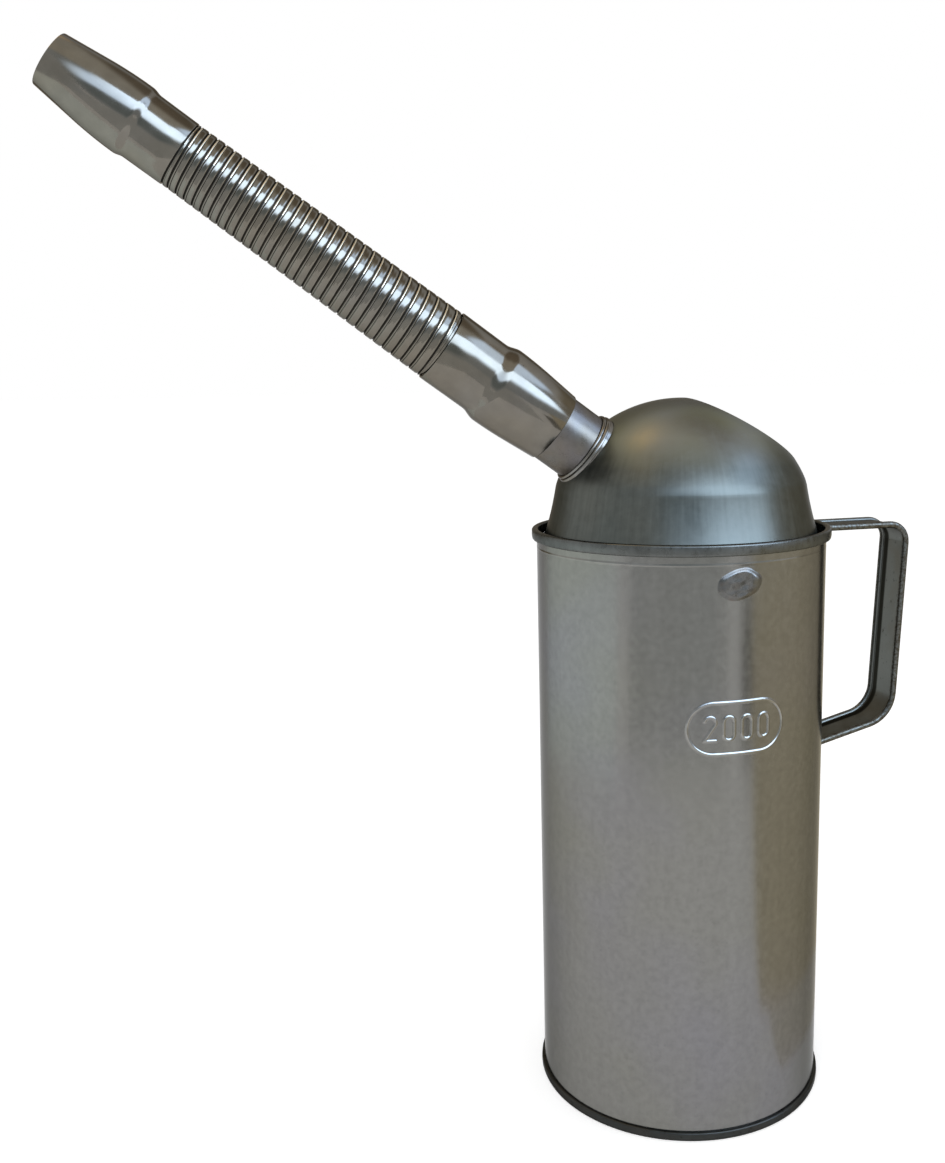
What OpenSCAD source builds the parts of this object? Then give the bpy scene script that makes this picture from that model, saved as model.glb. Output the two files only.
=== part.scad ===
// Oil measuring jug: a tinplate can with a pressed hood, a flexible pouring spout and a strap handle.
// Millimetres. The origin is the centre of the base on the floor, +Z is up, the handle points along +X
// and the spout along -X.

/* [Body] */
// Outer radius of the body
body_r = 54.5; // [50:0.5:60]
// Thickness of the tinplate
sheet = 0.5; // [0.4:0.05:0.7]
// Height of the rim bead's underside above the floor
body_h = 216.2; // [195:0.1:240]
// Distance of the pressed level line below the rim bead
level_drop = 3; // [2:0.1:8]
// How far the pressed level line stands out
level_out = 0.3; // [0.1:0.05:0.5]
// Height of the level line's ridge
level_w = 1; // [0.6:0.1:1.6]

/* [Rim] */
// How far the rim bead stands out of the body
rim_out = 1.9; // [1.4:0.1:2.6]
// Height of the rim bead
rim_h = 4.2; // [3.2:0.1:5]
// Radius of the rim bead's rounded edges
rim_round = 0.7; // [0.3:0.05:0.9]
// Diameter of the wire inside the rim bead
rim_wire_d = 1.3; // [1:0.05:1.4]

/* [Base] */
// How far the base seam stands out of the body
seam_out = 1.25; // [0.8:0.05:2]
// Height of the base seam
seam_h = 3.4; // [2.6:0.1:4.5]
// Radius of the base seam's rounded edges
seam_round = 0.55; // [0.2:0.05:0.8]
// Height of the base plate above the floor
base_recess = 2.4; // [1.5:0.1:4]
// Radius of the pressed step in the base plate
base_step_r = 42; // [30:1:48]
// Height of the pressed step in the base plate
base_step_h = 0.8; // [0.4:0.1:1.5]
// Height of the base plate's upturned edge above the floor
base_edge_h = 6.5; // [5.5:0.1:9]

/* [Side seam] */
// Width of the folded side seam
side_seam_w = 6; // [4:0.5:8]
// Thickness of the folded side seam outside the body
side_seam_t = 0.6; // [0.4:0.05:0.9]

/* [Hood] */
// Distance between the body and the hood's skirt at the top of the rim
hood_gap = 3.8; // [2.5:0.1:5]
// Height of the hood's conical skirt above the rim
skirt_h = 17.2; // [12:0.1:22]
// How much the skirt narrows from the rim to the shoulder
skirt_taper = 4.1; // [3:0.1:5]
// Height of the dome above the shoulder
dome_h = 30.8; // [28:0.1:34]
// Tilt of the filling mouth from level
mouth_tilt = 31.8; // [26:0.1:36]
// Height of the mouth's plane above the top of the dome, on the can's axis
mouth_rise = 1; // [0.2:0.1:2]
// Number of solder spots that hold the skirt
hood_spots = 6; // [4:1:10]
// Angle that one solder spot covers
hood_spot_angle = 10; // [6:1:16]
// Height of one solder spot
hood_spot_h = 2.4; // [1.6:0.1:3.2]

/* [Neck] */
// Elevation of the spout above level
spout_elevation = 36.1; // [30:0.1:45]
// Distance of the neck's axis above the dome's centre
neck_offset = 3.954; // [2:0.001:6]
// Distance of the neck's foot outside the dome, along the neck's axis
neck_stand = 2.386; // [1.5:0.001:3]
// Outer radius of the neck stub
neck_r = 12.87; // [11.5:0.01:14]
// Length of the neck stub beyond its foot
neck_len = 34; // [31:0.5:36]
// Length of the neck stub inside the hood
neck_tail = 8; // [7.5:0.5:12]
// Thickness of the larger ring of the collar
collar_d = 2.2; // [1.6:0.1:2.8]
// Thickness of the smaller ring of the collar
collar_small_d = 1.5; // [1:0.1:2]
// Height of the collar's larger ring along the neck, measured from the foot
collar_t = -3.6; // [-4.2:0.1:-3]
// How far the collar's seat stands out of the neck
collar_seat = 1.5; // [1:0.1:2.2]

/* [Sleeve] */
// Distance of the sleeve's mouth from the neck's foot
sleeve_start = 11.3; // [9:0.1:13]
// Wall of the sleeve and the nozzle
spout_wall = 0.5; // [0.4:0.05:0.7]
// Running clearance of the sleeve and the seal on the neck
fit = 0.05; // [0.02:0.01:0.09]
// Length of the sleeve
sleeve_len = 50; // [46:0.5:56]
// Outer radius of the sleeve's bulge
sleeve_bulge_r = 14.95; // [14.6:0.05:15.6]
// Distance of the bulge's end from the sleeve's mouth
sleeve_bulge_t = 25.5; // [23:0.5:29]
// Length of the shoulder behind the bulge
sleeve_shoulder = 6; // [4:0.5:9]
// Outer radius of the sleeve's cylindrical end
sleeve_end_r = 13.6; // [13.3:0.05:14]
// Distance of the sealing ring from the sleeve's mouth
seal_t = 15; // [13:0.5:16]
// Length of the sealing ring
seal_len = 5; // [4:0.5:6]

/* [Hose] */
// Number of bending links in the hose
hose_links = 15; // [10:1:18]
// Length of the widest turn, next to the sleeve
pitch_first = 3.95; // [3.6:0.05:4.4]
// Length of the narrowest turn, next to the nozzle
pitch_last = 2.95; // [2.8:0.05:3.5]
// Outer radius of the hose at the sleeve
hose_r_first = 13.2; // [12.9:0.05:13.4]
// Outer radius of the hose at the nozzle
hose_r_last = 11.3; // [11.1:0.05:11.6]
// Width of the groove between two turns
groove_w = 0.65; // [0.6:0.05:0.8]
// Depth of the groove between two turns
groove_d = 1; // [0.95:0.05:1.2]
// Thickness of a turn's outer band
band_t = 0.8; // [0.6:0.05:0.85]
// Thickness of the lip that a turn slides on
lip_t = 0.5; // [0.4:0.05:0.7]
// Length of the lip beyond the middle of a groove
lip_len = 1; // [0.8:0.05:1.1]
// Roundness of a turn's edges
turn_round = 0.35; // [0.2:0.05:0.5]

/* [Nozzle] */
// Length of the nozzle
nozzle_len = 46.2; // [40:0.2:54]
// Outer radius of the nozzle's cylindrical end
nozzle_end_r = 11.45; // [11.3:0.05:11.8]
// Outer radius of the nozzle's bulge
nozzle_bulge_r = 12.15; // [12:0.05:12.8]
// Outer radius of the nozzle's mouth
nozzle_mouth_r = 9.3; // [8.5:0.05:10]
// Distance of the bulge's end from the nozzle's mouth
nozzle_bulge_t = 29; // [26:0.5:32]
// Length of the shoulder behind the nozzle's bulge
nozzle_shoulder = 3.6; // [2.5:0.1:5]
// Length of the clamped end of the hose inside the sleeve and the nozzle
clamp_len = 4; // [3:0.5:6]

/* [Handle] */
// Width of the strap
strap_w = 19; // [15:0.5:24]
// Thickness of the strap
strap_t = 0.8; // [0.6:0.05:1.2]
// Diameter of the strap's rolled edges
hem_d = 2.6; // [2:0.1:3.2]
// Distance of the handle's leg from the can's axis, at the upper corner
handle_reach = 92.4; // [84:0.2:100]
// Distance of the strap's middle line below the top of the rim
arm_drop = 2.9; // [2.4:0.1:3.2]
// Distance of the strap's lower end below the rim bead
strap_drop = 85.3; // [74:0.1:96]
// Inward lean of the leg
leg_lean = 3.1; // [0:0.1:6]
// Slope of the lower arm
foot_slope = 13.8; // [8:0.1:22]
// Bend radius of the upper corner
top_bend_r = 7; // [5:0.5:10]
// Bend radius of the lower corner
low_bend_r = 13; // [9:0.5:18]
// How far the solder spreads past the strap
solder_spread = 1.6; // [0.8:0.1:3]
// Height of the solder under the strap's upper end
solder_rise = 3; // [2:0.1:4]

/* [Marks] */
// Distance of the capacity frame's middle below the rim bead
frame_drop = 60.2; // [40:0.1:90]
// Width of the capacity frame
frame_w = 37; // [30:0.5:44]
// Height of the capacity frame
frame_h = 19.5; // [15:0.5:24]
// Width of the pressed lines
line_w = 1.1; // [0.8:0.1:1.6]
// How far the pressed lines stand out
line_out = 0.35; // [0.2:0.05:0.6]
// Height of the numerals
digit_h = 9.5; // [7:0.5:11]
// Width of one numeral
digit_w = 5; // [4:0.5:6]
// Distance between numerals
digit_gap = 1.7; // [1.2:0.1:2.4]

/* [Seal drop] */
// Distance of the drop's middle below the rim bead
drop_below = 10; // [9.5:0.1:26]
// Width of the drop
drop_w = 17.4; // [12:0.2:20]
// Height of the drop
drop_h = 11.8; // [8:0.2:12]
// Thickness of the drop on the body
drop_t = 1.6; // [1:0.1:2.4]
// Tilt of the drop
drop_tilt = 12; // [0:1:20]

/* [Hidden] */
$fn = 96;
FIXED_NODES = [
    "body_shell", "side_seam", "base_plate", "base_seam", "rim_bead", "rim_wire", "hood", "hood_solder",
    "neck_stub", "neck_collar", "handle_strap", "handle_solder_top", "handle_solder_low", "seal_drop",
    "spout_seal", "spout_sleeve", "hose_root", "hose_end", "spout_nozzle"
];
function link_name(k) = str("hose_link_", k < 10 ? "0" : "", k);

tin = "#8d9088";
dark_tin = "#5b605c";
plated = "#9a948c";
solder = "#a3a7a4";
rubber = "#2a2a2a";

rim_top = body_h + rim_h;
inner_r = body_r - sheet;
rim_r = body_r + rim_out;
front = -90;
frame_z = body_h - frame_drop;
drop_z = body_h - drop_below;
cut_sides = 360;

// The hood: a conical skirt that meets the inside of the body, and a spherical dome above its shoulder.
skirt_rim_r = body_r - hood_gap;
shoulder_r = skirt_rim_r - skirt_taper;
shoulder_z = rim_top + skirt_h;
dome_top = shoulder_z + dome_h;
dome_r = (shoulder_r * shoulder_r + dome_h * dome_h) / (2 * dome_h);
dome_z = dome_top - dome_r;
skirt_slope = skirt_taper / skirt_h;
skirt_low_z = rim_top - (inner_r - skirt_rim_r) / skirt_slope;
function skirt_r(z) = skirt_rim_r - (z - rim_top) * skirt_slope;
mouth_z = dome_top + mouth_rise;

// The neck's foot, and lengths along the spout's axis measured from it.
neck_out = sqrt(dome_r * dome_r - neck_offset * neck_offset) + neck_stand;
neck_x = neck_out * cos(spout_elevation) - neck_offset * sin(spout_elevation);
neck_z = dome_z + neck_out * sin(spout_elevation) + neck_offset * cos(spout_elevation);
sleeve_mouth_r = neck_r + fit + spout_wall;
hose_start = sleeve_start + sleeve_len + groove_w / 2;
turns_per_link = 2;
turns = hose_links * turns_per_link;
function turn_z(i) = i * pitch_first + (pitch_last - pitch_first) * i * (i - 1) / (2 * (turns - 1));
hose_len = turn_z(turns);
function hose_r(z) = hose_r_first + (hose_r_last - hose_r_first) * z / hose_len;
nozzle_start = hose_start + hose_len + groove_w / 2;
nozzle_tip = nozzle_start + nozzle_len;
lip_room = lip_len + groove_w + 0.1;

// The handle's corners, and the straight runs between its two bends.
arm_z = rim_top - arm_drop;
foot_z = body_h - strap_drop;
leg_angle = 90 + leg_lean;
low_angle = 180 - foot_slope - leg_angle;
top_cut = top_bend_r * tan(leg_angle / 2);
low_cut = low_bend_r * tan(low_angle / 2);
arm_start = body_r - 2;
strap_lap = 0.1;
bend_less = 0.06;
top_corner = [handle_reach + top_cut * 0.06, arm_z];
leg_run = (arm_z - foot_z - (top_corner[0] - body_r) * tan(foot_slope))
    / (cos(leg_lean) - sin(leg_lean) * tan(foot_slope));
low_corner = top_corner + leg_run * [-sin(leg_lean), -cos(leg_lean)];
low_run = (low_corner[0] - arm_start) / cos(foot_slope);
leg_dir = [-sin(leg_lean), -cos(leg_lean)];
foot_dir = [-cos(foot_slope), -sin(foot_slope)];
top_centre = top_corner - [top_cut, top_bend_r];
low_centre = low_corner - low_cut * leg_dir - low_bend_r * [sin(leg_angle), cos(leg_angle)];
function reversed(points) = [for (i = [len(points) - 1 : -1 : 0]) points[i]];

// Points of a quadratic curve from a to c that leaves and arrives toward b.
function curve(a, b, c, n = 8) = [for (i = [0 : n]) let (t = i / n)
    (1 - t) * (1 - t) * a + 2 * t * (1 - t) * b + t * t * c];
// A smooth step from one radius to another, for a shoulder between heights z0 and z1.
function step_r(r0, r1, z0, z1, n = 10) = [for (i = [0 : n]) let (t = i / n)
    [r0 + (r1 - r0) * (1 - cos(180 * t)) / 2, z0 + (z1 - z0) * t]];
// The outline of a bulged ferrule with its mouth at height 0.
function ferrule(mouth_r, bulge_r, end_r, bulge_t, shoulder, len) = concat(
    [[mouth_r, 0]],
    curve([mouth_r + (bulge_r - mouth_r) * 0.72, bulge_t * 0.55], [bulge_r, bulge_t * 0.8], [bulge_r, bulge_t]),
    step_r(bulge_r, end_r, bulge_t + 0.2, bulge_t + shoulder),
    [[end_r, len]]);
function inset(points, wall) = [for (p = reversed(points)) p - [wall, 0]];

module on_spout(t = 0) {
    translate([-neck_x, 0, neck_z]) rotate([0, spout_elevation - 90, 0]) translate([0, 0, t]) children();
}

// A ring of rectangular section with rounded outer edges.
module rounded_ring(inner, outer, z0, z1, round) {
    rotate_extrude() union() {
        translate([inner, z0]) square([outer - round - inner, z1 - z0]);
        translate([inner, z0 + round]) square([outer - inner, z1 - z0 - 2 * round]);
        translate([outer - round, z0 + round]) circle(r = round, $fn = 32);
        translate([outer - round, z1 - round]) circle(r = round, $fn = 32);
    }
}

module tube(r_out, r_in, z0, z1) {
    translate([0, 0, z0]) difference() {
        cylinder(r = r_out, h = z1 - z0);
        translate([0, 0, -1]) cylinder(r = r_in, h = z1 - z0 + 2);
    }
}

// Marks pressed outward in the front of the body
module stadium(w, h) {
    translate([-(w - h) / 2, -h / 2]) square([w - h, h]);
    for (s = [-1, 1]) translate([s * (w - h) / 2, 0]) circle(d = h);
}

module digit_zero() {
    difference() {
        hull_free_oval(digit_w, digit_h);
        hull_free_oval(digit_w - 2 * line_w, digit_h - 2 * line_w);
    }
}

module hull_free_oval(w, h) {
    translate([-w / 2, -(h - w) / 2]) square([w, h - w]);
    for (s = [-1, 1]) translate([0, s * (h - w) / 2]) circle(d = w, $fn = 48);
}

module digit_two() {
    bow_y = (digit_h - digit_w) / 2;
    translate([-digit_w / 2, -digit_h / 2]) square([digit_w, line_w]);
    translate([0, bow_y]) intersection() {
        difference() {
            circle(d = digit_w, $fn = 48);
            circle(d = digit_w - 2 * line_w, $fn = 48);
        }
        translate([-digit_w, -digit_w * 0.16]) square([2 * digit_w, digit_w]);
    }
    polygon([
        [-digit_w / 2, -digit_h / 2], [-digit_w / 2 + line_w * 1.35, -digit_h / 2],
        [digit_w / 2, bow_y - digit_w * 0.14], [digit_w / 2 - line_w * 1.1, bow_y - digit_w * 0.14]
    ]);
}

module front_marks() {
    step = digit_w + digit_gap;
    intersection() {
        tube(body_r + line_out, body_r - sheet / 2, frame_z - frame_h, frame_z + frame_h);
        translate([0, 0, frame_z]) rotate([90, 0, 0]) linear_extrude(body_r + 2) {
            difference() {
                stadium(frame_w, frame_h);
                stadium(frame_w - 2 * line_w, frame_h - 2 * line_w);
            }
            translate([-1.5 * step, 0]) digit_two();
            for (i = [0 : 2]) translate([(i - 0.5) * step, 0]) digit_zero();
        }
    }
}

module body_shell() {
    color(tin) union() {
        tube(body_r, inner_r, seam_h, body_h);
        tube(body_r + level_out, inner_r + sheet / 2, body_h - level_drop - level_w / 2,
            body_h - level_drop + level_w / 2);
        front_marks();
    }
}

module side_seam() {
    color(tin) intersection() {
        tube(body_r + side_seam_t, body_r, seam_h, body_h - level_drop - level_w);
        translate([0, -side_seam_w / 2, 0]) cube([body_r + 5, side_seam_w, body_h]);
    }
}

module base_plate() {
    color(dark_tin) rotate_extrude() polygon([
        [0, base_recess + base_step_h], [base_step_r, base_recess + base_step_h],
        [base_step_r + base_step_h, base_recess], [inner_r - sheet, base_recess], [inner_r - sheet, 0.6],
        [inner_r, 0.6], [inner_r, base_edge_h], [inner_r - sheet, base_edge_h],
        [inner_r - sheet, base_recess + sheet], [base_step_r + base_step_h + 0.2, base_recess + sheet],
        [base_step_r + 0.2, base_recess + base_step_h + sheet], [0, base_recess + base_step_h + sheet]
    ]);
}

module base_seam() {
    color(dark_tin) rounded_ring(inner_r, body_r + seam_out, 0, seam_h, seam_round);
}

module rim_bead() {
    wire_r = body_r + rim_out / 2 - sheet / 2;
    color(dark_tin) difference() {
        rounded_ring(inner_r, rim_r, body_h, rim_top, rim_round);
        rotate_extrude() translate([wire_r, body_h + rim_h / 2]) circle(d = rim_wire_d, $fn = 32);
    }
}

module rim_wire() {
    wire_r = body_r + rim_out / 2 - sheet / 2;
    color(dark_tin) rotate_extrude() translate([wire_r, body_h + rim_h / 2]) circle(d = rim_wire_d, $fn = 32);
}

// Half of the hood's section, inset by a wall
module hood_half(wall) {
    polygon([[0, skirt_low_z], [inner_r - wall, skirt_low_z], [shoulder_r - wall, shoulder_z], [0, shoulder_z]]);
    intersection() {
        translate([0, dome_z]) circle(r = dome_r - wall, $fn = 180);
        translate([0, shoulder_z - 1]) square([shoulder_r - wall, dome_h + 5]);
    }
}

module hood() {
    color("#62685f") difference() {
        rotate_extrude() difference() {
            hood_half(0);
            hood_half(sheet);
        }
        translate([0, 0, mouth_z]) rotate([0, mouth_tilt, 0]) translate([-100, -100, 0]) cube([200, 200, 60]);
        on_spout(-neck_tail - 8) cylinder(r = neck_r, h = neck_tail + 20);
    }
}

module hood_solder() {
    z0 = skirt_low_z + 0.2;
    z1 = z0 + hood_spot_h;
    color(solder) for (i = [0 : hood_spots - 1]) rotate([0, 0, (i + 0.5) * 360 / hood_spots - hood_spot_angle / 2])
        rotate_extrude(angle = hood_spot_angle) polygon([[skirt_r(z0), z0], [inner_r, z0], [inner_r, z1],
            [skirt_r(z1), z1]]);
}

module neck_stub() {
    color(tin) on_spout() tube(neck_r, neck_r - sheet, -neck_tail, neck_len);
}

module neck_collar() {
    small_t = collar_t + (collar_d + collar_small_d) * 0.42;
    color(plated) difference() {
        on_spout() rotate_extrude() difference() {
            union() {
                translate([neck_r + collar_d * 0.2, collar_t]) circle(d = collar_d, $fn = 32);
                translate([neck_r + collar_small_d * 0.2, small_t]) circle(d = collar_small_d, $fn = 32);
                translate([neck_r - 1, collar_t - 4]) square([1 + collar_seat, 4]);
            }
            translate([0, collar_t - 10]) square([neck_r, 20]);
        }
        translate([0, 0, dome_z]) sphere(r = dome_r, $fn = 240);
    }
}

// The strap's section: a web between two rolled edges
module handle_section(less = 0) {
    w = strap_w - hem_d;
    translate([(less - strap_t) / 2, 2 * less - w / 2]) square([strap_t - less, w - 4 * less]);
    for (s = [-1, 1]) translate([0, s * w / 2]) circle(d = hem_d - less, $fn = 32);
}

// Places children at a point of the handle's plane, with +X along the heading
module heading(p, angle) {
    translate([p[0], 0, p[1]]) rotate([0, -angle, 0]) children();
}

module strap_run(p, angle, length) {
    heading(p, angle) translate([-strap_lap, 0, 0]) rotate([0, 90, 0]) linear_extrude(length + 2 * strap_lap)
        handle_section();
}

module strap_bend(centre, radius, start, turn) {
    translate([centre[0], 0, centre[1]]) rotate([90, 0, 0]) rotate([0, 0, start - turn])
        rotate_extrude(angle = turn) translate([radius, 0]) handle_section(bend_less);
}

module handle_strap() {
    color(dark_tin) difference() {
        union() {
            strap_run([arm_start, arm_z], 0, top_corner[0] - top_cut - arm_start);
            strap_bend(top_centre, top_bend_r, 90, leg_angle);
            strap_run(top_corner + top_cut * leg_dir, -leg_angle, leg_run - top_cut - low_cut);
            strap_bend(low_centre, low_bend_r, 90 - leg_angle, low_angle);
            strap_run(low_corner + low_cut * foot_dir, 180 + foot_slope, low_run - low_cut);
        }
        cylinder(r = body_r + side_seam_t, h = body_h - 20);
        translate([0, 0, body_h - 30]) cylinder(r = rim_r, h = 60);
    }
}

module handle_solder_top() {
    half = asin((strap_w / 2) / rim_r);
    color(solder) rotate([0, 0, -half]) rotate_extrude(angle = 2 * half) polygon([
        [body_r + side_seam_t, body_h - solder_rise], [body_r + side_seam_t, body_h],
        [rim_r + solder_rise, body_h]
    ]);
}

module handle_solder_low() {
    pad_w = strap_w + 2 * solder_spread;
    pad_h = hem_d + 2 * solder_spread;
    color(solder) difference() {
        intersection() {
            tube(body_r + side_seam_t, body_r, foot_z - pad_h / 2, foot_z + pad_h / 2);
            translate([0, -pad_w / 2, 0]) cube([body_r + 5, pad_w, body_h]);
        }
        translate([0, -side_seam_w / 2, 0]) cube([body_r + 5, side_seam_w, body_h]);
    }
}

module seal_drop() {
    color(solder) difference() {
        rotate([0, 0, front]) translate([body_r, 0, drop_z]) rotate([drop_tilt, 0, 0])
            scale([drop_t, drop_w / 2, drop_h / 2]) sphere(r = 1, $fn = 36);
        cylinder(r = body_r / cos(180 / cut_sides), h = body_h, $fn = cut_sides);
    }
}

function sleeve_line() = ferrule(sleeve_mouth_r, sleeve_bulge_r, sleeve_end_r, sleeve_bulge_t,
    sleeve_shoulder, sleeve_len);

module spout_sleeve() {
    color(plated) on_spout(sleeve_start) rotate_extrude()
        polygon(concat(sleeve_line(), inset(sleeve_line(), spout_wall)));
}

module spout_seal() {
    taper = (sleeve_bulge_r - sleeve_mouth_r) * 0.72 / (sleeve_bulge_t * 0.55);
    outer = sleeve_mouth_r + taper * min(seal_t, sleeve_bulge_t * 0.55) - spout_wall - fit;
    color(rubber) on_spout(sleeve_start) tube(outer, neck_r + fit, seal_t, seal_t + seal_len);
}

// The hose's clamped first half turn, with the lip that the first link slides on
module hose_root() {
    r = hose_r(0);
    top = -groove_w / 2;
    color(plated) on_spout(hose_start) rotate_extrude() polygon([
        [sleeve_end_r - spout_wall, top - clamp_len], [sleeve_end_r - spout_wall, top - 1],
        [r - groove_d, top], [r - groove_d, lip_len], [r - groove_d - lip_t, lip_len],
        [r - groove_d - lip_t, top - clamp_len]
    ]);
}

module hose_end() {
    r = hose_r(hose_len);
    color(plated) on_spout(hose_start + hose_len) rotate_extrude() polygon([
        [nozzle_end_r - spout_wall, lip_room], [nozzle_end_r - spout_wall, lip_room + clamp_len],
        [r - groove_d - lip_t, lip_room + clamp_len], [r - groove_d - lip_t, lip_room]
    ]);
}

// The outline of one turn's band, from groove to groove
function band(z0, z1) = let (a = z0 + groove_w / 2, b = z1 - groove_w / 2, r = hose_r((z0 + z1) / 2)) concat(
    curve([r - turn_round, a], [r - 0.05, a + 0.05], [r, a + turn_round * 1.6], 4),
    curve([r, b - turn_round * 1.6], [r - 0.05, b - 0.05], [r - turn_round, b], 4));

module hose_link(k) {
    z0 = turn_z(turns_per_link * (k - 1));
    z1 = turn_z(turns_per_link * (k - 1) + 1);
    z2 = turn_z(turns_per_link * k);
    r1 = hose_r((z0 + z1) / 2);
    r2 = hose_r((z1 + z2) / 2);
    floor_r = hose_r(z1) - groove_d;
    lip_r = hose_r(z2) - groove_d;
    color(plated) on_spout(hose_start) rotate_extrude() polygon(concat(
        band(z0, z1), [[floor_r, z1 - groove_w / 2], [floor_r, z1 + groove_w / 2]],
        band(z1, z2), [[lip_r, z2 - groove_w / 2], [lip_r, z2 + lip_len], [lip_r - lip_t, z2 + lip_len],
            [lip_r - lip_t, z0 + lip_room], [r1 - band_t, z0 + lip_room], [r1 - band_t, z0 + groove_w / 2]]));
}

module spout_nozzle() {
    line = ferrule(nozzle_mouth_r, nozzle_bulge_r, nozzle_end_r, nozzle_bulge_t, nozzle_shoulder, nozzle_len);
    color(plated) on_spout(nozzle_tip) mirror([0, 0, 1]) rotate_extrude()
        polygon(concat(line, inset(line, spout_wall)));
}

body_shell();
side_seam();
base_plate();
base_seam();
rim_bead();
rim_wire();
hood();
hood_solder();
neck_stub();
neck_collar();
handle_strap();
handle_solder_top();
handle_solder_low();
seal_drop();
spout_seal();
spout_sleeve();
hose_root();
hose_end();
spout_nozzle();
for (k = [1 : hose_links])
    hose_link(k);
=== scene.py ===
"""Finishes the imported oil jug: pressed tinplate, wound hose, solder, worn strap and a soft studio."""
import math

import bmesh
import bpy
from bpy.props import FloatProperty, FloatVectorProperty, IntProperty, PointerProperty
from mathutils import Matrix, Vector, noise


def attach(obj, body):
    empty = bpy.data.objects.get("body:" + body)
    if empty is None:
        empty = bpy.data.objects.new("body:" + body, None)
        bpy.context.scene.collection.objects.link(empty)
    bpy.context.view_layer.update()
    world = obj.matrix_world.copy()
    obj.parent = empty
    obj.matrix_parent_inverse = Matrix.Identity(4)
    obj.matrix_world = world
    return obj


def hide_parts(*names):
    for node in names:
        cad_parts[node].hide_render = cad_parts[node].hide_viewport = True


bl_info = {
    "name": "Oil measuring jug",
    "version": (1, 0, 0),
    "blender": (4, 5, 0),
    "location": "View3D > Sidebar > Jug",
    "description": "Finishes the packed jug with pressed sheet, a wound hose, solder and a studio",
    "category": "Object",
}

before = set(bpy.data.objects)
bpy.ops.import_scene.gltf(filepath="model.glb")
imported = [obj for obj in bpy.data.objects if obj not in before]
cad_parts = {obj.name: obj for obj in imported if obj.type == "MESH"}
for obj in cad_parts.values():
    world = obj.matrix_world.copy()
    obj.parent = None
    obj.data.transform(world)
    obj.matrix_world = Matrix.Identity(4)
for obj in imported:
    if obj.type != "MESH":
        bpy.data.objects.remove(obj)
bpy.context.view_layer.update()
MM = 0.001

# Places that the CAD model gives, in millimetres
BODY_R = 54.5
SHEET = 0.5
SEAM_H = 3.4
BODY_TOP = 216.2
RIM_TOP = 220.4
LEVEL_Z = 213.2
MARK_Z = 156.0
SPOUT_FOOT = (-40.4, 0.0, 252.1)
SPOUT_ELEVATION = 36.1
HOSE_START = 61.625
SLEEVE_START = 11.3
NOZZLE_TIP = 211.65


def spout_place(along=0.0):
    """Local z runs along the spout, local x points up across it, in metres."""
    turn = Matrix.Rotation(math.radians(SPOUT_ELEVATION - 90.0), 4, "Y")
    return Matrix.Translation(Vector(SPOUT_FOOT) * MM) @ turn @ Matrix.Translation((0, 0, along * MM))


# Shared mesh helpers
def mesh_piece(name, verts, faces, place=None, sharp=35.0, material=None):
    """Makes a smooth mesh object from points in millimetres."""
    mesh = bpy.data.meshes.new(name)
    mesh.from_pydata([Vector(v) * MM for v in verts], [], faces)
    if place is not None:
        mesh.transform(place)
    work = bmesh.new()
    work.from_mesh(mesh)
    bmesh.ops.remove_doubles(work, verts=work.verts, dist=1e-7)
    bmesh.ops.recalc_face_normals(work, faces=work.faces)
    work.to_mesh(mesh)
    work.free()
    mesh.polygons.foreach_set("use_smooth", [True] * len(mesh.polygons))
    mesh.set_sharp_from_angle(angle=math.radians(sharp))
    piece = bpy.data.objects.new(name, mesh)
    bpy.context.scene.collection.objects.link(piece)
    if material:
        mesh.materials.append(material)
    return piece


def lathe_data(profile, segments, start=0.0, sweep=360.0):
    """Points and quads of a closed section of (radius, height) turned about z."""
    full = sweep >= 360.0
    rings = segments if full else segments + 1
    count = len(profile)
    verts = []
    for i in range(rings):
        angle = math.radians(start + sweep * i / segments)
        verts += [(r * math.cos(angle), r * math.sin(angle), z) for r, z in profile]
    faces = []
    for i in range(segments):
        j = (i + 1) % rings
        for k in range(count):
            m = (k + 1) % count
            faces.append((i * count + k, j * count + k, j * count + m, i * count + m))
    if not full:
        faces += [tuple(range(count)), tuple(range(segments * count, segments * count + count))]
    return verts, faces


def lathe(name, profile, segments=144, place=None, material=None, sharp=35.0):
    verts, faces = lathe_data(profile, segments)
    return mesh_piece(name, verts, faces, place, sharp, material)


def rounded(points, radius, steps=4):
    """Rounds the corners of a closed outline of (radius, height) points."""
    out = []
    for i, p in enumerate(points):
        before, after = Vector(points[i - 1]), Vector(points[(i + 1) % len(points)])
        p = Vector(p)
        to_before, to_after = before - p, after - p
        cut = min(radius, to_before.length * 0.45, to_after.length * 0.45)
        a, b = p + to_before.normalized() * cut, p + to_after.normalized() * cut
        for k in range(steps + 1):
            t = k / steps
            out.append(tuple((1 - t) ** 2 * a + 2 * t * (1 - t) * p + t * t * b))
    return out


def walled(line, wall, lip=0.12):
    """A closed section from an outer line of (radius, height) points, inset by a wall."""
    inner = [(r - wall, z) for r, z in reversed(line)]
    return line + inner


def apply_modifiers(piece):
    """Replaces the piece's mesh with what its modifiers make of it."""
    graph = bpy.context.evaluated_depsgraph_get()
    made = bpy.data.meshes.new_from_object(piece.evaluated_get(graph))
    piece.modifiers.clear()
    piece.data = made
    made.polygons.foreach_set("use_smooth", [True] * len(made.polygons))
    made.set_sharp_from_angle(angle=math.radians(35))


def bend_line(a, b, c, steps=12):
    """A quadratic curve from a to c that leaves and arrives toward b."""
    out = []
    for i in range(steps + 1):
        t = i / steps
        out.append(tuple((1 - t) ** 2 * p + 2 * t * (1 - t) * q + t * t * s for p, q, s in zip(a, b, c)))
    return out


def smooth_step(t):
    t = max(0.0, min(1.0, t))
    return t * t * (3 - 2 * t)


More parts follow.
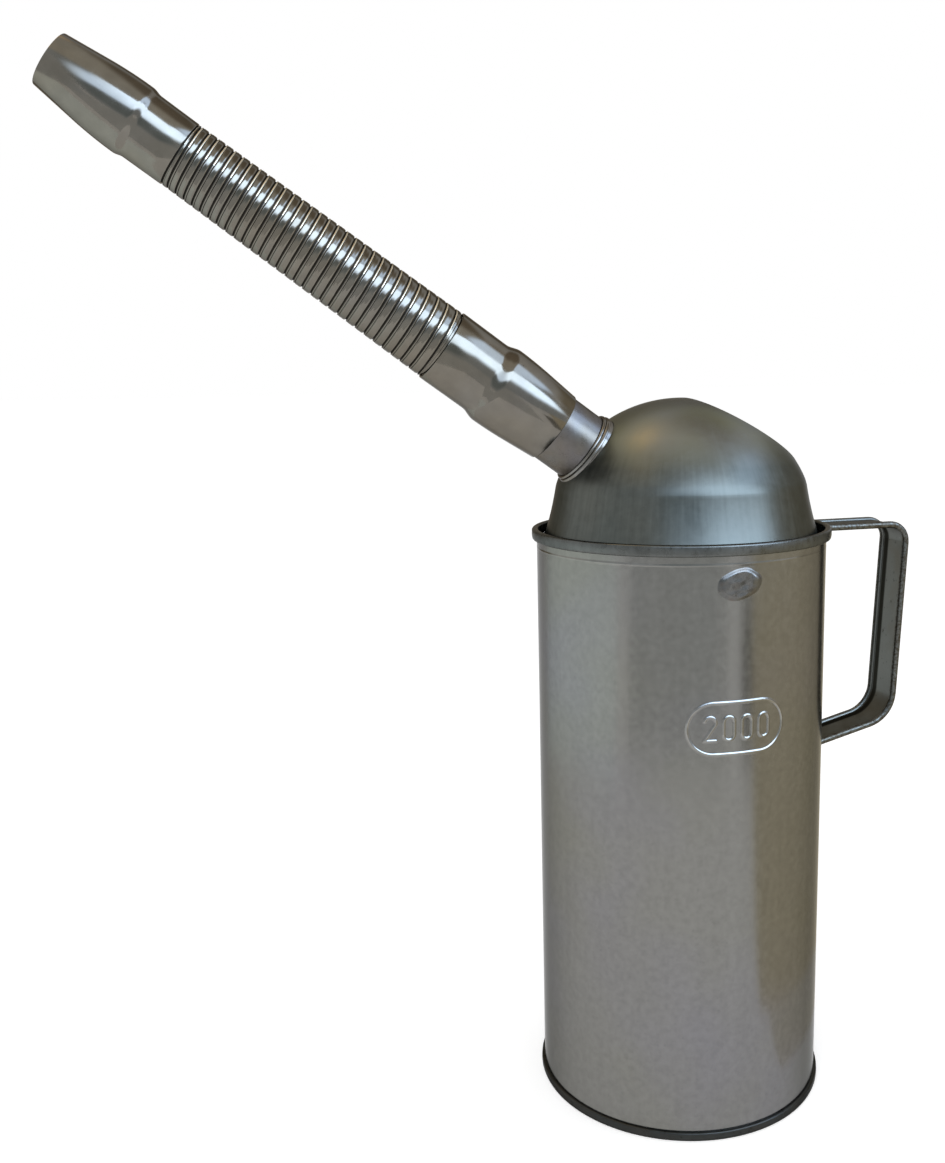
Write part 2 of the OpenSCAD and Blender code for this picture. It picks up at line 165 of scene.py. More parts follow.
def finish_piece(piece, body, slot, *nodes):
    """Rides the piece on its body and hides the CAD nodes it stands for. The slot is not used."""
    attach(piece, body)
    if nodes:
        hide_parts(*nodes)
    return piece


# Shared shader groups
def group(name, inputs, outputs):
    tree = bpy.data.node_groups.new(name, "ShaderNodeTree")
    for label, kind, default in inputs:
        socket = tree.interface.new_socket(name=label, in_out="INPUT", socket_type=kind)
        if default is not None:
            socket.default_value = default
    for label, kind in outputs:
        tree.interface.new_socket(name=label, in_out="OUTPUT", socket_type=kind)
    return tree, tree.nodes.new("NodeGroupInput"), tree.nodes.new("NodeGroupOutput")


def math_node(tree, kind, a, b=None):
    node = tree.nodes.new("ShaderNodeMath")
    node.operation = kind
    for socket, value in zip(node.inputs, (a, b)):
        if value is None:
            continue
        if isinstance(value, (int, float)):
            socket.default_value = value
        else:
            tree.links.new(value, socket)
    return node.outputs[0]


def noise_node(tree, vector, scale, detail=3.0, rough=0.55, offset=None):
    node = tree.nodes.new("ShaderNodeTexNoise")
    node.inputs["Detail"].default_value = detail
    node.inputs["Roughness"].default_value = rough
    if isinstance(scale, (int, float)):
        node.inputs["Scale"].default_value = scale
    else:
        tree.links.new(scale, node.inputs["Scale"])
    if offset is not None:
        shift = tree.nodes.new("ShaderNodeVectorMath")
        shift.inputs[1].default_value = offset
        tree.links.new(vector, shift.inputs[0])
        vector = shift.outputs[0]
    tree.links.new(vector, node.inputs["Vector"])
    return node.outputs["Fac"]


def range_node(tree, value, low, high, to_low=0.0, to_high=1.0):
    node = tree.nodes.new("ShaderNodeMapRange")
    for label, number in (("From Min", low), ("From Max", high), ("To Min", to_low), ("To Max", to_high)):
        if isinstance(number, (int, float)):
            node.inputs[label].default_value = number
        else:
            tree.links.new(number, node.inputs[label])
    tree.links.new(value, node.inputs["Value"])
    return node.outputs[0]


def mix_colour(tree, factor, a, b, blend="MIX"):
    node = tree.nodes.new("ShaderNodeMix")
    node.data_type = "RGBA"
    node.blend_type = blend
    for socket, value in ((node.inputs[0], factor), (node.inputs[6], a), (node.inputs[7], b)):
        if isinstance(value, (int, float)):
            socket.default_value = value
        elif isinstance(value, tuple):
            socket.default_value = value
        else:
            tree.links.new(value, socket)
    return node.outputs[2]


def cylinder_coordinates(tree):
    """Arc length and height about the can's axis, so marks can run round or up the sheet."""
    place = tree.nodes.new("ShaderNodeTexCoord").outputs["Object"]
    split = tree.nodes.new("ShaderNodeSeparateXYZ")
    tree.links.new(place, split.inputs[0])
    angle = math_node(tree, "ARCTAN2", split.outputs[1], split.outputs[0])
    join = tree.nodes.new("ShaderNodeCombineXYZ")
    tree.links.new(math_node(tree, "MULTIPLY", angle, BODY_R * MM), join.inputs[0])
    tree.links.new(split.outputs[2], join.inputs[2])
    return place, join.outputs[0]


def build_cloud_group():
    """Slow drifts of colour over bare metal."""
    tree, given, out = group(
        "metal clouds",
        [("Base", "NodeSocketColor", (0.2, 0.2, 0.2, 1)), ("Warm", "NodeSocketColor", (0.2, 0.2, 0.2, 1)),
         ("Cool", "NodeSocketColor", (0.2, 0.2, 0.2, 1)), ("Scale", "NodeSocketFloat", 20.0),
         ("Amount", "NodeSocketFloat", 0.5)],
        [("Color", "NodeSocketColor"), ("Mask", "NodeSocketFloat")])
    place = tree.nodes.new("ShaderNodeTexCoord").outputs["Object"]
    warm = noise_node(tree, place, given.outputs["Scale"], 2.0)
    cool = noise_node(tree, place, given.outputs["Scale"], 2.0, offset=(7.3, 2.1, 4.4))
    warm_mask = math_node(tree, "MULTIPLY", range_node(tree, warm, 0.45, 0.7), given.outputs["Amount"])
    cool_mask = math_node(tree, "MULTIPLY", range_node(tree, cool, 0.45, 0.7), given.outputs["Amount"])
    mixed = mix_colour(tree, warm_mask, given.outputs["Base"], given.outputs["Warm"])
    mixed = mix_colour(tree, cool_mask, mixed, given.outputs["Cool"])
    tree.links.new(mixed, out.inputs["Color"])
    tree.links.new(warm, out.inputs["Mask"])
    return tree


def build_grain_group():
    """Fine mottled grain and pits of rolled sheet, as a height and a mask."""
    tree, given, out = group(
        "sheet grain",
        [("Scale", "NodeSocketFloat", 900.0), ("Pits", "NodeSocketFloat", 0.3)],
        [("Height", "NodeSocketFloat"), ("Mask", "NodeSocketFloat"), ("Pit", "NodeSocketFloat")])
    place = tree.nodes.new("ShaderNodeTexCoord").outputs["Object"]
    fine = noise_node(tree, place, given.outputs["Scale"], 3.0, 0.6)
    coarse = noise_node(tree, place, math_node(tree, "MULTIPLY", given.outputs["Scale"], 0.28), 2.0)
    spots = noise_node(tree, place, math_node(tree, "MULTIPLY", given.outputs["Scale"], 0.5), 1.0,
                       offset=(3.1, 8.2, 1.7))
    pit = math_node(tree, "MULTIPLY", range_node(tree, spots, 0.69, 0.76), given.outputs["Pits"])
    tree.links.new(math_node(tree, "SUBTRACT", fine, pit), out.inputs["Height"])
    tree.links.new(coarse, out.inputs["Mask"])
    tree.links.new(pit, out.inputs["Pit"])
    return tree


def build_streak_group():
    """Drawn streaks that run up a turned sheet."""
    tree, given, out = group(
        "drawn streaks",
        [("Scale", "NodeSocketFloat", 600.0), ("Run", "NodeSocketFloat", 0.04)],
        [("Mask", "NodeSocketFloat")])
    _, round_sheet = cylinder_coordinates(tree)
    stretch = tree.nodes.new("ShaderNodeVectorMath")
    stretch.operation = "MULTIPLY"
    join = tree.nodes.new("ShaderNodeCombineXYZ")
    join.inputs[0].default_value = 1.0
    join.inputs[1].default_value = 1.0
    tree.links.new(given.outputs["Run"], join.inputs[2])
    tree.links.new(round_sheet, stretch.inputs[0])
    tree.links.new(join.outputs[0], stretch.inputs[1])
    tree.links.new(noise_node(tree, stretch.outputs[0], given.outputs["Scale"], 4.0, 0.65), out.inputs["Mask"])
    return tree


def build_wear_group():
    """Patches where handling has rubbed or stained the metal."""
    tree, given, out = group(
        "handling wear",
        [("Scale", "NodeSocketFloat", 300.0), ("Amount", "NodeSocketFloat", 0.5)],
        [("Rubbed", "NodeSocketFloat"), ("Stain", "NodeSocketFloat")])
    place = tree.nodes.new("ShaderNodeTexCoord").outputs["Object"]
    low = math_node(tree, "SUBTRACT", 0.78, math_node(tree, "MULTIPLY", given.outputs["Amount"], 0.3))
    rubbed = noise_node(tree, place, given.outputs["Scale"], 5.0, 0.7)
    stain = noise_node(tree, place, math_node(tree, "MULTIPLY", given.outputs["Scale"], 0.45), 4.0, 0.65,
                       offset=(1.9, 5.5, 9.1))
    high = math_node(tree, "ADD", low, 0.09)
    tree.links.new(range_node(tree, rubbed, low, high), out.inputs["Rubbed"])
    tree.links.new(range_node(tree, stain, low, high), out.inputs["Stain"])
    return tree


def build_shade_mask_group():
    """A mask of hollows that ambient occlusion finds within 2 mm, scaled by a depth, for painted shade in grooves.
    """
    tree, given, out = group(
        "groove shade",
        [("Depth", "NodeSocketFloat", 1.0)],
        [("Mask", "NodeSocketFloat")])
    around = tree.nodes.new("ShaderNodeAmbientOcclusion")
    around.samples = 8
    around.inputs["Distance"].default_value = 0.002
    shade = range_node(tree, around.outputs["AO"], 0.35, 0.85, 1.0, 0.0)
    tree.links.new(math_node(tree, "MULTIPLY", shade, given.outputs["Depth"]), out.inputs["Mask"])
    return tree


def build_channel_group():
    """Painted shade on the strap's inner face beside its far roll, and a spotted mask of its rolled edges."""
    tree, given, out = group(
        "strap channel",
        [("Middle", "NodeSocketFloat", 0.0), ("Half Width", "NodeSocketFloat", 0.002),
         ("Roll Start", "NodeSocketFloat", 0.0077)],
        [("Channel Shade", "NodeSocketFloat"), ("Roll", "NodeSocketFloat")])
    place = tree.nodes.new("ShaderNodeTexCoord").outputs["Object"]
    split = tree.nodes.new("ShaderNodeSeparateXYZ")
    tree.links.new(place, split.inputs[0])
    aside = math_node(tree, "ABSOLUTE", math_node(tree, "SUBTRACT", split.outputs[1], given.outputs["Middle"]))
    band = range_node(tree, aside, given.outputs["Half Width"],
                      math_node(tree, "MULTIPLY", given.outputs["Half Width"], 0.55), 0.0, 1.0)
    inward = tree.nodes.new("ShaderNodeVectorMath")
    inward.operation = "SUBTRACT"
    inward.inputs[0].default_value = HANDLE_MIDDLE
    tree.links.new(place, inward.inputs[1])
    facing = tree.nodes.new("ShaderNodeVectorMath")
    facing.operation = "DOT_PRODUCT"
    tree.links.new(inward.outputs[0], facing.inputs[0])
    tree.links.new(tree.nodes.new("ShaderNodeTexCoord").outputs["Normal"], facing.inputs[1])
    inner = math_node(tree, "GREATER_THAN", facing.outputs["Value"], 0.0)
    tree.links.new(math_node(tree, "MULTIPLY", band, inner), out.inputs["Channel Shade"])
    edge = math_node(tree, "GREATER_THAN", math_node(tree, "ABSOLUTE", split.outputs[1]),
                     given.outputs["Roll Start"])
    spots = noise_node(tree, place, 1100.0, 2.0)
    tree.links.new(math_node(tree, "MULTIPLY", edge, range_node(tree, spots, 0.42, 0.62)), out.inputs["Roll"])
    return tree


groups = {}
HANDLE_MIDDLE = (0.074, 0.0, 0.178)


def group_node(tree, name, **values):
    node = tree.nodes.new("ShaderNodeGroup")
    node.node_tree = groups[name]
    for label, value in values.items():
        node.inputs[label].default_value = value
    return node


def colour(rgb, alpha=1.0):
    return (rgb[0], rgb[1], rgb[2], alpha)


def shade(rgb, factor):
    return tuple(c * factor for c in rgb)


def metal(name, base, warm, cool, rough, clouds=(22.0, 0.5), grain=(900.0, 0.2), rough_spread=0.06,
          bump=0.000012, streaks=None, wear=None, rub=None, stain=None, crest=None,
          channel=None, above=None):
    """A bare or plated metal: drifting colour, sheet grain, streaks and wear, and where asked painted light: a
    lighter top, a shaded strap channel and brighter crests.
    """
    made = bpy.data.materials.new(name)
    made.use_nodes = True
    tree = made.node_tree
    shader = tree.nodes["Principled BSDF"]
    shader.inputs["Metallic"].default_value = 1.0
    cloud = group_node(tree, "clouds", Base=colour(base), Warm=colour(warm), Cool=colour(cool),
                       Scale=clouds[0], Amount=clouds[1])
    sheet = group_node(tree, "grain", Scale=grain[0], Pits=grain[1])
    tint = cloud.outputs["Color"]
    mottle = range_node(tree, sheet.outputs["Mask"], 0.3, 0.7, 0.93, 1.07)
    tint = mix_colour(tree, 1.0, tint, mottle, "MULTIPLY")
    rough_value = range_node(tree, sheet.outputs["Mask"], 0.3, 0.7, rough - rough_spread, rough + rough_spread)
    height = sheet.outputs["Height"]
    if streaks:
        run = group_node(tree, "streaks", Scale=streaks[0], Run=streaks[1])
        tint = mix_colour(tree, 1.0, tint, range_node(tree, run.outputs["Mask"], 0.3, 0.7,
                                                      1 - streaks[2], 1 + streaks[2]), "MULTIPLY")
        rough_value = math_node(tree, "ADD", rough_value, range_node(tree, run.outputs["Mask"], 0.3, 0.7,
                                                                     -streaks[3], streaks[3]))
        height = math_node(tree, "ADD", height, math_node(tree, "MULTIPLY", run.outputs["Mask"], 1.5))
    pit = sheet.outputs["Pit"]
    tint = mix_colour(tree, pit, tint, colour(shade(base, 0.35)))
    if wear:
        marks = group_node(tree, "wear", Scale=wear[0], Amount=wear[1])
        tint = mix_colour(tree, marks.outputs["Stain"], tint, colour(stain))
        tint = mix_colour(tree, marks.outputs["Rubbed"], tint, colour(rub))
        rough_value = math_node(tree, "ADD", rough_value,
                                math_node(tree, "MULTIPLY", marks.outputs["Stain"], 0.15))
    shader.inputs["Specular Tint"].default_value = colour((0.45, 0.45, 0.45))
    # Above a height the sheet takes a lighter colour, painted light from above, and grows rougher above a second
    # height.
    if above:
        split = tree.nodes.new("ShaderNodeSeparateXYZ")
        tree.links.new(tree.nodes.new("ShaderNodeTexCoord").outputs["Object"], split.inputs[0])
        high = range_node(tree, split.outputs[2], above[0] * MM, above[1] * MM)
        upper = group_node(tree, "clouds", Base=colour(above[2]), Warm=colour(above[3]), Cool=colour(above[2]),
                           Scale=clouds[0], Amount=0.9)
        tint = mix_colour(tree, high, tint, upper.outputs["Color"])
        dull = range_node(tree, split.outputs[2], above[4] * MM, (above[4] + 1.2) * MM, 0.0, above[5])
        rough_value = math_node(tree, "ADD", rough_value, dull)
    # Rolled edges get their spotted colour; the inner face beside the far roll gets dark painted shade.
    if channel:
        strap = group_node(tree, "channel", Middle=channel[0])
        tint = mix_colour(tree, strap.outputs["Roll"], tint, colour(channel[2]))
        tint = mix_colour(tree, strap.outputs["Channel Shade"], tint, colour(channel[1]))
    # Crests get a brighter colour, a painted highlight on the pressed lines, and less roughness as rubbed metal.
    if crest:
        raised = tree.nodes.new("ShaderNodeAttribute")
        raised.attribute_name = "crest"
        bright = range_node(tree, raised.outputs["Fac"], 0.0, 1.0, 1.0, crest[1])
        tint = mix_colour(tree, 1.0, tint, bright, "MULTIPLY")
        rough_value = math_node(tree, "SUBTRACT", rough_value,
                                math_node(tree, "MULTIPLY", raised.outputs["Fac"], crest[0]))
    tree.links.new(tint, shader.inputs["Base Color"])
    tree.links.new(rough_value, shader.inputs["Roughness"])
    relief = tree.nodes.new("ShaderNodeBump")
    relief.inputs["Strength"].default_value = 1.0
    relief.inputs["Distance"].default_value = bump
    tree.links.new(height, relief.inputs["Height"])
    tree.links.new(relief.outputs["Normal"], shader.inputs["Normal"])
    return made


def dress(node, material):
    """Gives a CAD node's every material slot the finished metal."""
    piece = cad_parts[node]
    if not piece.material_slots:
        piece.data.materials.append(material)
    for place in piece.material_slots:
        place.material = material


# Settings a user would change
class JugFinish(bpy.types.PropertyGroup):
    tin: FloatVectorProperty(name="Tinplate", description="Colour of the body sheet", subtype="COLOR",
                             size=3, min=0, max=1, default=(0.185, 0.183, 0.172))
    hood: FloatVectorProperty(name="Hood", description="Colour of the pressed hood", subtype="COLOR",
                              size=3, min=0, max=1, default=(0.094, 0.1, 0.092))
    # The dome's lighter colour is painted light from above.
    dome: FloatVectorProperty(name="Dome", description="Colour of the hood above its shoulder", subtype="COLOR",
                              size=3, min=0, max=1, default=(0.188, 0.192, 0.178))
    bead: FloatVectorProperty(name="Beads", description="Colour of the rim and the base seam",
                              subtype="COLOR", size=3, min=0, max=1, default=(0.1, 0.104, 0.1))
    strap: FloatVectorProperty(name="Strap", description="Colour of the handle strap", subtype="COLOR",
                               size=3, min=0, max=1, default=(0.125, 0.13, 0.122))
    plating: FloatVectorProperty(name="Plating", description="Colour of the plated spout", subtype="COLOR",
                                 size=3, min=0, max=1, default=(0.16, 0.149, 0.128))
    solder: FloatVectorProperty(name="Solder", description="Colour of the solder", subtype="COLOR",
                                size=3, min=0, max=1, default=(0.18, 0.18, 0.175))
    tin_rough: FloatProperty(name="Tinplate roughness", description="How dull the body sheet is",
                             min=0.05, max=1, default=0.2)
    plating_rough: FloatProperty(name="Plating roughness", description="How dull the plating is",
                                 min=0.02, max=1, default=0.13)


class JugHose(bpy.types.PropertyGroup):
    links: IntProperty(name="Links", description="Bending links in the packed hose", min=1, default=15)
    pitch_first: FloatProperty(name="First turn", description="Length of the turn at the sleeve in mm",
                               default=3.95)
    pitch_last: FloatProperty(name="Last turn", description="Length of the turn at the nozzle in mm",
                              default=2.95)
    radius_first: FloatProperty(name="First radius", description="Outer radius at the sleeve in mm",
                                default=13.2)
    radius_last: FloatProperty(name="Last radius", description="Outer radius at the nozzle in mm",
                               default=11.3)
    groove: FloatProperty(name="Groove", description="Gap between turns in mm", default=0.5)
    steps: IntProperty(name="Steps", description="Mesh steps round one turn", min=24, default=72)


class JugStage(bpy.types.PropertyGroup):
    camera_x: FloatProperty(name="Camera X", description="Camera position", unit="LENGTH", default=-0.1679)
    camera_y: FloatProperty(name="Camera Y", description="Camera position", unit="LENGTH", default=-0.4155)
    camera_z: FloatProperty(name="Camera Z", description="Camera position", unit="LENGTH", default=0.27537)
    heading: FloatProperty(name="Heading", description="Turn of the view to the right of +Y",
                           subtype="ANGLE", default=math.radians(15.1454))
    pitch: FloatProperty(name="Pitch", description="Downward tilt of the view", subtype="ANGLE",
                         default=0.169048)
    roll: FloatProperty(name="Roll", description="Roll of the camera", subtype="ANGLE", default=-0.015975)
    lens: FloatProperty(name="Lens", description="Focal length in mm", default=36.39)
    floor: FloatVectorProperty(name="Floor", description="Colour of the floor", subtype="COLOR", size=3,
                               min=0, max=1, default=(0.86, 0.86, 0.86))


def jug(context):
    return context.scene.jug_finish, context.scene.jug_hose, context.scene.jug_stage


# Body
DIGITS = "2000"
DIGIT_STEP = 6.7
CREST_H = 0.36


def stroke_two():
    bow = [(2.0 * math.cos(math.radians(a)), 2.3 + 2.0 * math.sin(math.radians(a))) for a in range(165, -46, -15)]
    return bow + [(-2.0, -4.2), (2.1, -4.2)]


def stroke_zero():
    top = [(1.95 * math.cos(math.radians(a)), 2.25 + 1.95 * math.sin(math.radians(a))) for a in range(0, 181, 20)]
    low = [(1.95 * math.cos(math.radians(a)), -2.25 + 1.95 * math.sin(math.radians(a)))
           for a in range(180, 361, 20)]
    return top + low + top[:1]


def stroke_distance(x, y, stroke):
    best = 9.0
    for (x0, y0), (x1, y1) in zip(stroke, stroke[1:]):
        dx, dy = x1 - x0, y1 - y0
        span = dx * dx + dy * dy
        t = 0.0 if span == 0 else max(0.0, min(1.0, ((x - x0) * dx + (y - y0) * dy) / span))
        best = min(best, math.hypot(x - x0 - t * dx, y - y0 - t * dy))
    return best


STROKES = {"2": stroke_two(), "0": stroke_zero()}


def ridge(distance, half_width, height):
    t = distance / half_width
    return 0.0 if t >= 1 else height * 0.5 * (1 + math.cos(math.pi * t))


def pressed(angle, z):
    """How far the body's sheet is pressed outward, in millimetres."""
    fade = 1 - 0.7 * smooth_step((math.degrees(angle) + 160) / 110)
    out = ridge(abs(z - LEVEL_Z), 0.6, 0.13 * fade)
    x = BODY_R * math.sin(angle + math.pi / 2)
    y = z - MARK_Z
    if abs(x) < 20.5 and abs(y) < 11 and math.cos(angle + math.pi / 2) > 0:
        out += ridge(abs(math.hypot(max(abs(x) - 8.75, 0.0), y) - 9.2), 0.68, 0.36)
        for i, digit in enumerate(DIGITS):
            cx = (i - (len(DIGITS) - 1) / 2) * DIGIT_STEP
            if abs(x - cx) < 3.4 and abs(y) < 5.6:
                out += ridge(stroke_distance(x - cx, y, STROKES[digit]), 0.66, 0.33)
    return out


def spaced(low, high, step):
    count = max(1, round((high - low) / step))
    return [low + (high - low) * i / count for i in range(count)]


class JUG_OT_body(bpy.types.Operator):
    """Makes the body sheet with its pressed level line and capacity mark"""
    bl_idname = "jug.body"
    bl_label = "Body"

    def execute(self, context):
        finish, _, _ = jug(context)
        tin = metal("tinplate", finish.tin, shade(finish.tin, 0.9)[:2] + (finish.tin[2] * 0.78,),
                    (finish.tin[0] * 0.98, finish.tin[1] * 0.97, finish.tin[2] * 1.2), finish.tin_rough,
                    clouds=(14.0, 0.45), grain=(1500.0, 0.15), rough_spread=0.02, bump=0.0000012,
                    # crest: less roughness as rubbed metal, and up to 1.5 times brighter colour as a painted
                    # highlight
                    streaks=(260.0, 0.03, 0.03, 0.015), crest=(0.09, 1.5))
        angles = (spaced(-180, -112, 2.5) + spaced(-112, -68, 0.22) + spaced(-68, 180, 2.5))
        heights = (spaced(SEAM_H, 144.5, 5) + spaced(144.5, 167.5, 0.25) + spaced(167.5, 212, 5)
                   + spaced(212, 214.4, 0.2) + spaced(214.4, BODY_TOP, 0.9) + [BODY_TOP])
        verts = []
        for degrees in angles:
            a = math.radians(degrees)
            for z in heights:
                wave = 0.03 * noise.noise(Vector((math.cos(a) * 2.2, math.sin(a) * 2.2, z * 0.022)))
                r = BODY_R + wave * min(1.0, (BODY_TOP - z) / 12, (z - SEAM_H) / 12) + pressed(a, z)
                verts.append((r * math.cos(a), r * math.sin(a), z))
            for z in (BODY_TOP, 120.0, SEAM_H):
                verts.append(((BODY_R - SHEET) * math.cos(a), (BODY_R - SHEET) * math.sin(a), z))
        rows = len(heights) + 3
        faces = []
        for i in range(len(angles)):
            j = (i + 1) % len(angles)
            for k in range(rows):
                m = (k + 1) % rows
                faces.append((i * rows + k, j * rows + k, j * rows + m, i * rows + m))
        body = mesh_piece("body_sheet", verts, faces, sharp=60, material=tin)
        # The crest height drives the painted highlight on the raised lines.
        crest = body.data.attributes.new("crest", "FLOAT", "POINT")
        for point, value in zip(body.data.vertices, crest.data):
            x, y, z = point.co / MM
            value.value = pressed(math.atan2(y, x), z) / CREST_H if math.hypot(x, y) > BODY_R - 0.1 else 0.0
        finish_piece(body, "can", "tin", "body_shell")
        dress("side_seam", metal("seam tin", finish.tin, shade(finish.tin, 0.9), shade(finish.tin, 1.05),
                                 finish.tin_rough, grain=(1500.0, 0.3)))
        return {"FINISHED"}


class JUG_OT_beads(bpy.types.Operator):
    """Finishes the rim bead, the base seam and the base plate"""
    bl_idname = "jug.beads"
    bl_label = "Rim and base"

    def execute(self, context):
        finish, _, _ = jug(context)
        rim_metal = metal("rolled rim", finish.bead, shade(finish.bead, 1.25), shade(finish.bead, 0.8), 0.3,
                          clouds=(60.0, 0.7), grain=(1200.0, 0.5), streaks=(500.0, 0.6, 0.12, 0.05),
                          wear=(420.0, 0.35), rub=shade(finish.bead, 2.2), stain=(0.035, 0.03, 0.026))
        base_metal = metal("base seam", shade(finish.bead, 0.38), (0.045, 0.04, 0.033),
                           shade(finish.bead, 0.3), 0.32, clouds=(40.0, 0.7), grain=(1100.0, 0.6),
                           wear=(500.0, 0.35), rub=shade(finish.bead, 1.5), stain=(0.02, 0.018, 0.016))
        rim = lathe("rim_roll", rounded([(54.0, 216.2), (56.15, 216.2), (56.4, 218.0), (56.3, 220.15),
                                         (54.9, 220.4), (54.0, 220.1)], 0.75), 180, material=rim_metal)
        finish_piece(rim, "can", "dark_tin", "rim_bead")
        seam = lathe("base_roll", rounded([(54.0, 0.0), (55.35, 0.0), (55.75, 0.9), (55.6, 3.0), (54.9, 3.4),
                                           (54.0, 3.4)], 0.5), 180, material=base_metal)
        finish_piece(seam, "can", "dark_tin", "base_seam")
        dress("base_plate", base_metal)
        dress("rim_wire", rim_metal)
        return {"FINISHED"}


# Hood, from the same sizes as the CAD hood
SKIRT_FOOT = (54.0, 206.56)
SHOULDER = (46.6, 237.6)
DOME_TOP = 268.4
DOME_R = 50.653
MOUTH_TILT = 31.8
MOUTH_Z = 269.4
NECK_R = 12.87
SHOULDER_BLEND = 1.8
SKIRT_HOLLOW = 0.3


def hood_line():
    """Outer outline of the hood: a cone, a soft shoulder and a dome."""
    foot, corner = Vector(SKIRT_FOOT), Vector(SHOULDER)
    centre_z = DOME_TOP - DOME_R
    corner_rise = math.atan2(corner.y - centre_z, corner.x)
    blend_rise = corner_rise + SHOULDER_BLEND / DOME_R
    low = corner + (foot - corner).normalized() * SHOULDER_BLEND
    high = (DOME_R * math.cos(blend_rise), centre_z + DOME_R * math.sin(blend_rise))
    line = []
    for i in range(28):
        r, z = foot.lerp(low, i / 28)
        share = max(0.0, (z - RIM_TOP + 1.5) / (low.y - RIM_TOP + 1.5))
        line.append((r - SKIRT_HOLLOW * 4 * share * (1 - share), z))
    line += bend_line(tuple(low), tuple(corner), high)
    steps = 44
    for i in range(1, steps + 1):
        rise = blend_rise + (math.pi / 2 - blend_rise) * i / steps
        line.append((DOME_R * math.cos(rise), centre_z + DOME_R * math.sin(rise)))
    return line


class JUG_OT_hood(bpy.types.Operator):
    """Makes the pressed hood and finishes the spots of solder that hold it"""
    bl_idname = "jug.hood"
    bl_label = "Hood"

    def execute(self, context):
        finish, _, _ = jug(context)
        sheet = metal("hood sheet", finish.hood, (0.1, 0.098, 0.082), (0.082, 0.093, 0.088), 0.32,
                      clouds=(24.0, 0.45), grain=(1100.0, 0.1), rough_spread=0.02, bump=0.0000008,
                      streaks=(420.0, 0.05, 0.11, 0.025),
                      # The dome is lighter from 244 to 255 mm up as painted light from above; it starts above the
                      # shoulder, which keeps the shoulder's highlight down.
                      above=(244.0, 255.0, finish.dome, shade(finish.dome, 1.05)[:2] + (finish.dome[2] * 0.72,),
                             SHOULDER[1] - 1.0, 0.035))
        line = hood_line()
        spokes, count = 192, len(line)
        verts = [(r * math.cos(2 * math.pi * i / spokes), r * math.sin(2 * math.pi * i / spokes), z)
                 for i in range(spokes) for r, z in line]
        faces = [(i * count + k, (i + 1) % spokes * count + k, (i + 1) % spokes * count + k + 1, i * count + k + 1)
                 for i in range(spokes) for k in range(count - 1)]
        hood = mesh_piece("hood_pressed", verts, faces, material=sheet)
        cut = bmesh.new()
        cut.from_mesh(hood.data)
        tilt = math.radians(MOUTH_TILT)
        bmesh.ops.bisect_plane(cut, geom=cut.verts[:] + cut.edges[:] + cut.faces[:], clear_outer=True,
                               plane_co=(0, 0, MOUTH_Z * MM), plane_no=(math.sin(tilt), 0, math.cos(tilt)))
        bmesh.ops.recalc_face_normals(cut, faces=cut.faces)
        cut.to_mesh(hood.data)
        cut.free()
        wall = hood.modifiers.new("wall", "SOLIDIFY")
        wall.thickness = SHEET * MM
        wall.offset = -1
        hole = lathe("neck hole", [(0.0, -26.0), (NECK_R, -26.0), (NECK_R, 20.0), (0.0, 20.0)], 96,
                     spout_place(0.0))
        drill = hood.modifiers.new("neck", "BOOLEAN")
        drill.operation = "DIFFERENCE"
        drill.solver = "EXACT"
        drill.object = hole
        apply_modifiers(hood)
        bpy.data.objects.remove(hole)
        finish_piece(hood, "can", "hood_tin", "hood")
        dress("hood_solder", metal("soft solder", finish.solder, shade(finish.solder, 0.9),
                                   shade(finish.solder, 1.1), 0.3))
        return {"FINISHED"}


class JUG_OT_neck(bpy.types.Operator):
    """Finishes the stub and collar that the spout sits on"""
    bl_idname = "jug.neck"
    bl_label = "Neck"

    def execute(self, context):
        finish, _, _ = jug(context)
        satin = metal("satin neck", (0.133, 0.128, 0.12), (0.14, 0.115, 0.08), (0.12, 0.116, 0.126), 0.3,
                      clouds=(70.0, 0.6), grain=(1400.0, 0.2), rough_spread=0.04, bump=0.000004)
        dress("neck_stub", satin)
        dress("neck_collar", metal("collar", (0.17, 0.165, 0.155), (0.14, 0.12, 0.09), (0.2, 0.2, 0.2), 0.16,
                                   clouds=(120.0, 0.7), wear=(600.0, 0.3), rub=(0.35, 0.34, 0.32),
                                   stain=(0.04, 0.035, 0.03)))
        return {"FINISHED"}


def plating(finish, name="plating", dents=0.0000008):
    base = tuple(finish.plating)
    return metal(name, base, (base[0] * 0.95, base[1] * 0.86, base[2] * 0.74),
                 (base[0] * 0.98, base[1], base[2] * 1.1), finish.plating_rough, clouds=(38.0, 0.4),
                 grain=(700.0, 0.08), rough_spread=0.02, bump=dents,
                 wear=(340.0, 0.05), rub=shade(base, 1.3), stain=shade(base, 0.7))


def shoulder(r0, r1, z0, z1, steps=14):
    return [(r0 + (r1 - r0) * (1 - math.cos(math.pi * i / steps)) / 2, z0 + (z1 - z0) * i / steps)
            for i in range(steps + 1)]


